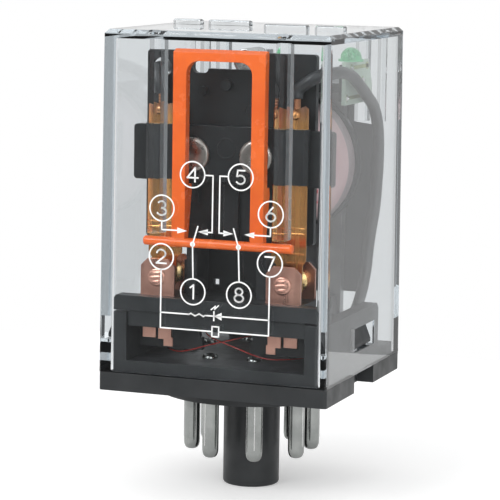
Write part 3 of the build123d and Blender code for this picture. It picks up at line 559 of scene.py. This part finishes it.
# ---- leads and wires ----------------------------------------------------------------------
SLEEVE_R, LEAD_END_R, COIL_WIRE_R = 0.85, 0.5, 0.1
WIRE_CROSSING = 0.6
STRANDS, STRAND_R, STRAND_RING_R, STRAND_CORE_R = 9, 0.14, 0.34, 0.26
STRAND_STEPS, STRAND_TWIST = 24, 0.16
WELD_Z = 41.2
LEAD_TAIL = [(14.0, 8.6, 41.0), (13.7, 11.7, 37.3), (13.3, 13.2, 32.0), (13.0, 13.1, 26.4),
             (12.4, 12.5, 20.8), (12.0, 11.9, 15.4), (11.0, 10.5, 10.4), (8.8, 9.2, 7.9), (6.4, 8.5, 7.2)]
LEAD_HEAD = {"right": [(10.0, -10.75, 43.6), (10.25, -10.75, 44.8), (12.0, -10.85, 46.1),
                       (13.7, -9.9, 47.0), (14.2, -7.4, 47.05), (14.25, -3.4, 46.4),
                       (14.2, 0.6, 44.9), (14.1, 4.6, 43.1)],
             "left": [(10.0, -10.75, 43.6), (10.25, -10.75, 45.1), (10.7, -10.2, 46.8),
                      (10.8, -8.8, 47.05), (10.9, -5.2, 47.0), (12.2, -1.0, 46.1), (13.6, 3.0, 44.2),
                      (14.05, 6.2, 42.3)]}
COIL_WIRE = [(6.9, -3.6, 22.0), (6.7, -3.4, 16.5), (6.0, -4.1, 11.0), (4.4, -7.6, 9.9), (2.2, -11.3, 9.4),
             (-2.0, -12.4, 8.3), (-6.4, -11.9, 6.95), (-9.9, -8.6, 6.65), (-10.7, -4.6, 6.5),
             (-10.5, -1.2, 6.5), (-9.5, 2.6, 6.6)]


def add_leads():
    for label, side in both_sides():
        route = [(side * x, y, z) for x, y, z in LEAD_HEAD[label] + LEAD_TAIL]
        sleeve = sweep(route, SLEEVE_R, 20)
        add_lathe(sleeve, [(0, -0.12), (0.55, -0.12), (0.8, -0.05), (0.87, 0.1), (0.85, 0.5), (0, 0.5)],
                  route[0], (0, 0, 1), 20)
        add_piece(f"lead_sleeve_{label}", finished_mesh("sleeve", sleeve), BASE, "black_sleeve",
                  replaced=[f"common_lead_{label}"])
        tail = Vector(route[-1])
        joint = sweep([tail + Vector((side * 0.6, 0.1, 0.05)), tail, tail - Vector((side * 1.4, 0.2, 0.15)),
                       tail - Vector((side * 2.6, 0.3, 0.3))], LEAD_END_R, 12)
        add_piece(f"lead_end_{label}", finished_mesh("lead_end", joint), BASE, "copper_braid")
        low, high = limits(f"common_braid_{label}")
        centre = (low + high) / 2
        strands = bmesh.new()
        for strand in range(STRANDS):
            turn = 2 * math.pi * strand / STRANDS
            line = []
            for step in range(STRAND_STEPS + 1):
                angle = turn + step * STRAND_TWIST
                height = low.z + (high.z - low.z) * step / STRAND_STEPS
                line.append(Vector((centre.x + STRAND_RING_R * math.cos(angle),
                                    centre.y + STRAND_RING_R * math.sin(angle), height)))
            add_tube(strands, line, STRAND_R, 7)
        middle = [Vector((centre.x, centre.y, z)) for z in (low.z, centre.z, high.z)]
        add_tube(strands, middle, STRAND_CORE_R, 10)
        add_piece(f"braid_strands_{label}", finished_mesh("braid", strands), MOVING, "copper_braid",
                  replaced=[f"common_braid_{label}"])
        weld = bmesh.new()
        add_lathe(weld, [(0, -0.32), (0.35, -0.28), (0.62, -0.12), (0.7, 0.05), (0, 0.06)],
                  (centre.x, limits(f"blade_{label}")[1].y - 0.34, WELD_Z), (0, 1, 0), 24)
        add_piece(f"braid_weld_{label}", finished_mesh("weld", weld), MOVING, "spring_copper")
        back = WIRE_CROSSING if side > 0 else 0.0
        wire = sweep([(side * x, y + back, z) for x, y, z in COIL_WIRE], COIL_WIRE_R, 8)
        add_piece(f"enamel_wire_{label}", finished_mesh("enamel", wire), BASE, "enamel_wire",
                  replaced=[f"coil_wire_{label}"])


# ---- contacts, rivets and pins ------------------------------------------------------------
SWAGE_RIDGES = ((0.95, 0.1), (1.2, -0.1), (0.85, 0.05))
SWAGE_TOP_Z, SWAGE_PITCH, SWAGE_Z = 18.25, 0.62, 17.65
LARGE_TAB_X, LARGE_TAB_Z = (9.6, 11.6), (9.0, 10.8)
SMALL_TAB_X, SMALL_TAB_Z = (7.0, 8.4), (7.9, 9.2)
BLADE_RIBS = ((25.5, 0.18), (24.7, 0.24), (21.9, 0.2))


def add_contact_details():
    for label, side in both_sides():
        low, high = limits(f"front_contact_{label}")
        centre_x = (low.x + high.x) / 2 - 0.15
        ridges = bmesh.new()
        for row, (width, shift) in enumerate(SWAGE_RIDGES):
            z = SWAGE_TOP_Z - SWAGE_PITCH * row
            add_lathe(ridges, [(0, -width), (0.2, -width * 0.92), (0.33, -width * 0.6), (0.36, 0),
                               (0.33, width * 0.6), (0.2, width * 0.92), (0, width)],
                      (centre_x + shift, low.y + 0.1, z), (1, 0, 0.08), 20)
        add_lathe(ridges, [(0, 0), (1.15, 0), (1.3, -0.06), (1.2, -0.16), (0.9, -0.19), (0, -0.17)],
                  (centre_x, low.y + 0.02, SWAGE_Z), (0, 1, 0), 32)
        add_piece(f"swaged_rivet_{label}", finished_mesh("swaged", ridges, 50), BASE, "satin_copper")
        strap = bmesh.new()
        front = low.y + 0.02
        add_block(strap, sorted(side * x for x in LARGE_TAB_X), (front, low.y + 0.4), LARGE_TAB_Z)
        add_block(strap, sorted(side * x for x in SMALL_TAB_X), (front, low.y + 0.3), SMALL_TAB_Z)
        piece = add_piece(f"solder_tab_{label}", finished_mesh("tab", strap), BASE, "satin_copper")
        rounded(piece, 0.08)
        low, high = limits(f"blade_{label}")
        creases = bmesh.new()
        for z, reach in BLADE_RIBS:
            span = (low.x + 0.12, high.x - 0.12)
            ridge = [(0, span[0]), (reach, span[0] + 0.15), (reach, span[1] - 0.15), (0, span[1])]
            add_lathe(creases, ridge, (0, low.y + 0.1, z), (1, 0, 0), 16)
        add_piece(f"pressed_rib_{label}", finished_mesh("ribs", creases, 50), MOVING, "spring_copper")
        low, high = limits(f"rivet_{label}")
        centre = (low + high) / 2
        rivet = bmesh.new()
        length = high.y - low.y
        add_lathe(rivet, [(0, 0.12), (0.5, 0.1), (0.62, 0.02), (1.9, 0.0), (2.2, 0.06), (2.38, 0.22),
                          (2.45, 0.42), (2.42, 0.6), (1.2, 0.6), (1.2, length - 0.25),
                          (1.5, length - 0.2), (1.45, length - 0.02), (0, length)],
                  (centre.x, low.y, centre.z), (0, 1, 0), 48)
        add_piece(f"turned_rivet_{label}", finished_mesh("rivet", rivet), MOVING, "nickel_steel",
                  replaced=[f"rivet_{label}"])


def add_pins():
    """Hollow octal pins: a rolled shank with a rounded, soldered tip."""
    for number in range(1, 9):
        low, high = limits(f"pin_{number}")
        centre = (low + high) / 2
        pin = bmesh.new()
        bottom = low.z
        add_lathe(pin, [(0, bottom + 0.04), (0.3, bottom), (0.5, bottom + 0.03), (0.8, bottom + 0.16),
                        (1.0, bottom + 0.4), (1.12, bottom + 0.75), (1.17, bottom + 1.1),
                        (1.18, bottom + 1.5), (1.18, -0.02), (1.13, -0.02), (1.13, high.z - 0.4),
                        (0.95, high.z - 0.1), (0.7, high.z), (0.55, high.z - 0.15), (0, high.z - 0.2)],
                  (centre.x, centre.y, 0), (0, 0, 1), 40)
        add_piece(f"rolled_pin_{number}", finished_mesh("pin", pin), BASE, "nickel_pin",
                  replaced=[f"pin_{number}"])
        seam = bmesh.new()
        outward = centre.xy.normalized() * 1.165
        add_block(seam, (centre.x + outward.x - 0.05, centre.x + outward.x + 0.05),
                  (centre.y + outward.y - 0.05, centre.y + outward.y + 0.05), (bottom + 1.8, -0.1))
        add_lathe(seam, [(0, -0.02), (0.28, 0.0), (0.42, 0.06), (0.5, 0.16), (0, 0.2)],
                  (centre.x, centre.y, bottom + 0.02), (0, 0, 1), 24)
        add_piece(f"pin_solder_{number}", finished_mesh("seam", seam), BASE, "nickel_pin", "solder")


# ---- lamp, coil label and mould marks -----------------------------------------------------
TRACKS = ((-0.9, 6.2, 43.0), (1.0, 8.6, 47.2), (1.0, 6.2, 45.2))
SOLDER_PLACES = ((-0.9, 43.0), (6.2, 43.0), (1.0, 47.2), (6.2, 45.2))
BAND_ZS, BAND_WIDTH = (43.6, 44.3, 45.0, 46.0), 0.3


def add_lamp_details():
    low, high = limits("lamp_board")
    outer_x = high.x
    tracks = Print(lambda y, z, lift: mm(outer_x + lift, y, z), 0.04)
    for y0, y1, z in TRACKS:
        tracks.path([(y0, z), (y1, z)], 0.5)
    tracks.path([(1.0, 47.2), (1.0, 45.2)], 0.5)
    for y, z in ((-0.9, 43.0), (6.2, 43.0), (8.2, 47.2), (1.0, 47.2), (6.2, 45.2)):
        tracks.dot(y, z, 0.55)
    add_piece("board_tracks", finished_mesh("tracks", tracks.bm), BASE, "green_board", "board_track")
    joints = bmesh.new()
    for y, z in SOLDER_PLACES:
        add_lathe(joints, [(0, 0.38), (0.14, 0.34), (0.22, 0.2), (0.42, 0.05), (0.48, 0), (0, 0)],
                  (outer_x + 0.02, y, z), (1, 0, 0), 20)
    add_piece("board_solder", finished_mesh("joints", joints), BASE, "green_board", "solder")
    low, high = limits("lamp_resistor")
    centre = (low + high) / 2
    bands = bmesh.new()
    for z in BAND_ZS:
        end_z = z + BAND_WIDTH
        add_lathe(bands, [(0.7, z), (0.77, z), (0.77, end_z), (0.7, end_z), (0.7, z)],
                  (centre.x, centre.y, 0), (0, 0, 1), 28)
    add_piece("resistor_bands", finished_mesh("bands", bands), BASE, "resistor_body", "colour_band")
    low, high = limits("lamp")
    centre = (low + high) / 2
    frame_bm = bmesh.new()
    add_block(frame_bm, (centre.x - 0.12, centre.x + 0.12), (centre.y - 0.9, centre.y - 0.45),
              (low.z + 0.1, low.z + 1.1))
    add_block(frame_bm, (centre.x - 0.12, centre.x + 0.12), (centre.y + 0.1, centre.y + 0.8),
              (low.z + 0.1, low.z + 0.95))
    add_lathe(frame_bm, [(0, 0), (0.18, 0), (0.34, 0.28), (0, 0.3)],
              (centre.x, centre.y + 0.4, low.z + 0.9), (0, 0, 1), 20)
    lead_frame = add_piece("lamp_lead_frame", finished_mesh("lead_frame", frame_bm), BASE, "green_lamp",
                           "solder")
    rounded(lead_frame, 0.03, 2)


def on_coil(side):
    """Places on the taped coil: u runs along its axis, v around it from the side, in millimetres."""
    low, high = limits("coil_tape")
    radius, height = (high.z - low.z) / 2, (high.z + low.z) / 2

    def place(u, v, lift):
        angle = v / radius
        return mm(side * (radius + lift) * math.cos(angle), u, height + (radius + lift) * math.sin(angle))
    return place


LABEL_STRIPS, LABEL_START, LABEL_STRIP_WIDTH = 24, -11.0, 0.9
MARK_COLUMNS = ((1.2, 9), (3.2, 7), (5.2, 9))
MARK_START, MARK_PITCH = -7.0, 1.15


def add_coil_details():
    low, high = limits("coil_tape")
    label = Print(on_coil(1), 0.06)
    marks = Print(on_coil(1), 0.09)
    front, rear = low.y + 0.25, high.y - 3.0
    for step in range(LABEL_STRIPS):
        v = LABEL_START + step * LABEL_STRIP_WIDTH
        next_v = v + LABEL_STRIP_WIDTH
        label.patch([(front, v), (rear, v), (rear, next_v), (front, next_v)])
    for column, (offset, count) in enumerate(MARK_COLUMNS):
        u = low.y + offset
        for step in range(count):
            v = MARK_START + step * MARK_PITCH + 0.4 * column
            marks.line((u, v), (u + 0.75, v + 0.12), 0.24)
            marks.line((u + 0.15, v + 0.35), (u + 0.6, v + 0.5), 0.2)
    add_piece("coil_label", finished_mesh("label", label.bm), BASE, "coil_tape", "label_paper")
    add_piece("coil_label_marks", finished_mesh("marks", marks.bm), BASE, "coil_tape", "red_ink")
    laps = bmesh.new()
    centre_z = (low.z + high.z) / 2
    radius = (high.z - low.z) / 2
    for y in (low.y + 0.02, low.y + 7.0, high.y - 1.2):
        add_lathe(laps, [(radius - 0.05, y), (radius + 0.05, y), (radius + 0.05, y + 1.1),
                         (radius - 0.05, y + 1.1), (radius - 0.05, y)], (0, 0, centre_z), (0, 1, 0), 96)
    add_piece("tape_laps", finished_mesh("laps", laps), BASE, "coil_tape")


CARRIER_FRONT_Y = -9.4
CARRIER_EJECTORS = ((8.9, 47.6), (-8.0, 45.0), (6.2, 28.0), (-2.4, 26.5), (2.6, 41.4), (4.4, 45.6))
BASE_EJECTORS = ((11.2, 0), (-11.2, 0), (0, 11.2))


def add_mould_marks():
    """Ejector rings and a small round mark under the base, left by the moulds."""
    carrier = bmesh.new()
    for x, z in CARRIER_EJECTORS:
        add_lathe(carrier, [(0.62, 0.02), (0.62, -0.06), (0.74, -0.06), (0.74, 0.02), (0.62, 0.02)],
                  (x, CARRIER_FRONT_Y, z), (0, 1, 0), 32)
    add_piece("carrier_ejector_rings", finished_mesh("rings", carrier), MOVING, "black_inner_plastic")
    bottom = limits("base")[0].z
    under = bmesh.new()
    for x, y in BASE_EJECTORS:
        add_lathe(under, [(0.7, 0.02), (0.7, -0.05), (0.85, -0.05), (0.85, 0.02), (0.7, 0.02)],
                  (x, y, 0), (0, 0, 1), 32)
    add_lathe(under, [(0, 0), (0.5, 0), (0.45, -0.06), (0.2, -0.1), (0, -0.1)],
              (0, 0, bottom + 0.11), (0, 0, 1), 24)
    add_piece("base_mould_marks", finished_mesh("under", under), BASE, "black_base_plastic")


# ---- stage --------------------------------------------------------------------------------
CAMERA_PLACE = (120.92, -329.67, 68.80)
CAMERA_YAW, CAMERA_PITCH, CAMERA_ROLL = 20.254, 7.653, 0.9045
LENS = 176.23
SHIFT_Y = -0.0168
SENSOR_WIDTH = 36.0
FLOOR_REACH, FLOOR_CORNER, FLOOR_GLOW = 110.0, 50.0, 0.22
LIGHT_BOUNCES = 28


def add_camera():
    data = bpy.data.cameras.new("camera")
    data.sensor_width = SENSOR_WIDTH
    data.lens = LENS
    data.shift_y = SHIFT_Y
    data.clip_start = 0.01
    camera = bpy.data.objects.new("camera", data)
    turn = (Matrix.Rotation(math.radians(CAMERA_YAW), 4, "Z")
            @ Matrix.Rotation(math.radians(90.0 - CAMERA_PITCH), 4, "X")
            @ Matrix.Rotation(math.radians(CAMERA_ROLL), 4, "Z"))
    camera.matrix_world = Matrix.Translation(mm(*CAMERA_PLACE)) @ turn
    bpy.context.scene.collection.objects.link(camera)
    bpy.context.scene.camera = camera


def add_area_light(name, place, target, size, power):
    data = bpy.data.lights.new(name, "AREA")
    data.shape = "RECTANGLE"
    data.size, data.size_y = size[0] * 0.001, size[1] * 0.001
    data.energy = power
    lamp = bpy.data.objects.new(name, data)
    lamp.location = mm(*place)
    lamp.rotation_euler = (mm(*target) - lamp.location).to_track_quat("-Z", "Y").to_euler()
    bpy.context.scene.collection.objects.link(lamp)


def add_floor():
    """A plain pale sheet under the object, with rounded corners."""
    bm = bmesh.new()
    floor_z = limits("base")[0].z
    reach, corner, steps = FLOOR_REACH, FLOOR_CORNER, 12
    outline = []
    for quarter in range(4):
        diagonal = math.radians(45 + 90 * quarter)
        middle = [math.copysign(reach - corner, math.cos(diagonal)),
                  math.copysign(reach - corner, math.sin(diagonal))]
        for step in range(steps + 1):
            angle = math.radians(90 * quarter + 90 * step / steps)
            outline.append(bm.verts.new(mm(middle[0] + corner * math.cos(angle),
                                           middle[1] + corner * math.sin(angle), floor_z)))
    bm.faces.new(outline)
    mesh = finished_mesh("floor", bm)
    paint = Paint("floor", Roughness=0.9)
    paint.shader.inputs["Specular IOR Level"].default_value = 0.1
    paint.shader.inputs["Emission Color"].default_value = (1.0, 1.0, 1.0, 1.0)
    paint.shader.inputs["Emission Strength"].default_value = FLOOR_GLOW
    paint.colour(paint.ramp(paint.noise(3.0), ((0.3, (0.955, 0.955, 0.955)), (0.7, (0.965, 0.965, 0.965)))))
    mesh.materials.append(paint.material)
    floor = bpy.data.objects.new("floor", mesh)
    bpy.context.scene.collection.objects.link(floor)


# Dim patches of the surroundings, mirrored by the cover's front and right side: direction, strength
BRIGHT_STRENGTH = 0.85
DIM_PATCHES = (((-0.34, -0.93, -0.13), 0.2), ((0.34, 0.93, -0.13), 0.6))
DIM_EDGE, DIM_CORE = 0.82, 0.96


def add_world():
    """White surroundings with two dim patches; the view behind the object stays white."""
    world = bpy.data.worlds.new("studio")
    world.use_nodes = True
    tree = world.node_tree
    background = tree.nodes["Background"]
    coords = tree.nodes.new("ShaderNodeTexCoord")
    lowest = None
    for towards, strength in DIM_PATCHES:
        facing = tree.nodes.new("ShaderNodeVectorMath")
        facing.operation = "DOT_PRODUCT"
        facing.inputs[1].default_value = Vector(towards).normalized()
        tree.links.new(coords.outputs["Generated"], facing.inputs[0])
        level = tree.nodes.new("ShaderNodeMapRange")
        level.interpolation_type = "SMOOTHSTEP"
        for key, value in (("From Min", DIM_EDGE), ("From Max", DIM_CORE), ("To Min", BRIGHT_STRENGTH),
                           ("To Max", strength)):
            level.inputs[key].default_value = value
        tree.links.new(facing.outputs["Value"], level.inputs["Value"])
        if lowest is None:
            lowest = level.outputs["Result"]
        else:
            smaller = tree.nodes.new("ShaderNodeMath")
            smaller.operation = "MINIMUM"
            tree.links.new(lowest, smaller.inputs[0])
            tree.links.new(level.outputs["Result"], smaller.inputs[1])
            lowest = smaller.outputs["Value"]
    path = tree.nodes.new("ShaderNodeLightPath")
    seen = tree.nodes.new("ShaderNodeMath")
    seen.operation = "MAXIMUM"
    tree.links.new(lowest, seen.inputs[0])
    tree.links.new(path.outputs["Is Camera Ray"], seen.inputs[1])
    tree.links.new(seen.outputs["Value"], background.inputs["Strength"])
    background.inputs["Color"].default_value = (1.0, 1.0, 1.0, 1.0)
    bpy.context.scene.world = world


def add_studio():
    scene = bpy.context.scene
    scene.view_settings.view_transform = "Standard"
    scene.cycles.max_bounces = LIGHT_BOUNCES
    scene.cycles.transmission_bounces = LIGHT_BOUNCES
    scene.cycles.glossy_bounces = LIGHT_BOUNCES
    add_world()
    add_area_light("key", (-220, -420, 300), (0, 0, 20), (260, 260), 1.1)
    add_area_light("fill", (260, -380, 160), (0, 0, 20), (240, 240), 0.4)


paint_cad_nodes()
add_prints()
add_leads()
add_contact_details()
add_pins()
add_lamp_details()
add_coil_details()
add_mould_marks()
add_floor()
add_camera()
add_studio()
